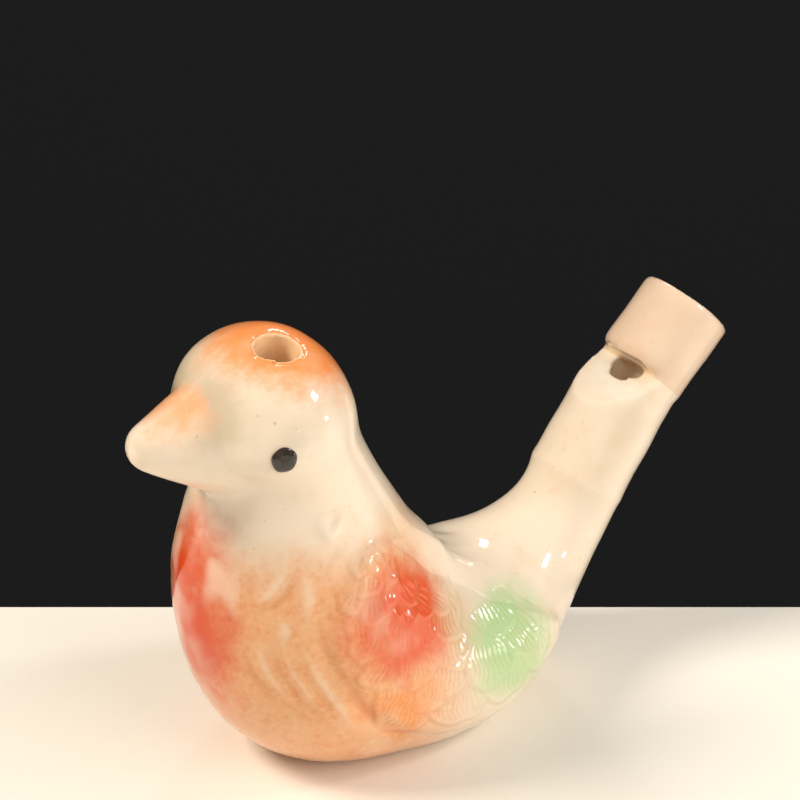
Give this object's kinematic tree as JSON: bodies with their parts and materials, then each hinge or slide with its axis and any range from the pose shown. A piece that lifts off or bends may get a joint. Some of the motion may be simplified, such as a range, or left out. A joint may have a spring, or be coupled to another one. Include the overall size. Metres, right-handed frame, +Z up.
{
  "type": "ocarina",
  "caption": "Small hollow glazed ceramic bird whistle: a tail tube with windway and window, a filling hole in the crown for water, and a flat foot.",
  "frame": {"origin": "middle of the flat foot, on the table", "axes": "+Z up; the beak points to -X and the tail leans to +X; the bird's left side is at -Y"},
  "size_m": [0.0735, 0.0288, 0.0486],
  "materials": {
    "glazed_body": "glossy clear glaze over sprayed colours",
    "glazed_tail": "glossy cream glaze",
    "glazed_mouthpiece": "glossy cream glaze",
    "eye_enamel": "glossy black enamel dot"
  },
  "bodies": {
    "root": {"left_body_half": "glazed_body", "right_body_half": "glazed_body", "body_seam_slip": "glazed_body", "left_eye": "eye_enamel", "right_eye": "eye_enamel", "tail_tube": "glazed_tail", "tail_joint_slip": "glazed_tail", "mouthpiece": "glazed_mouthpiece", "mouthpiece_joint_slip": "glazed_mouthpiece"}
  },
  "joints": []
}
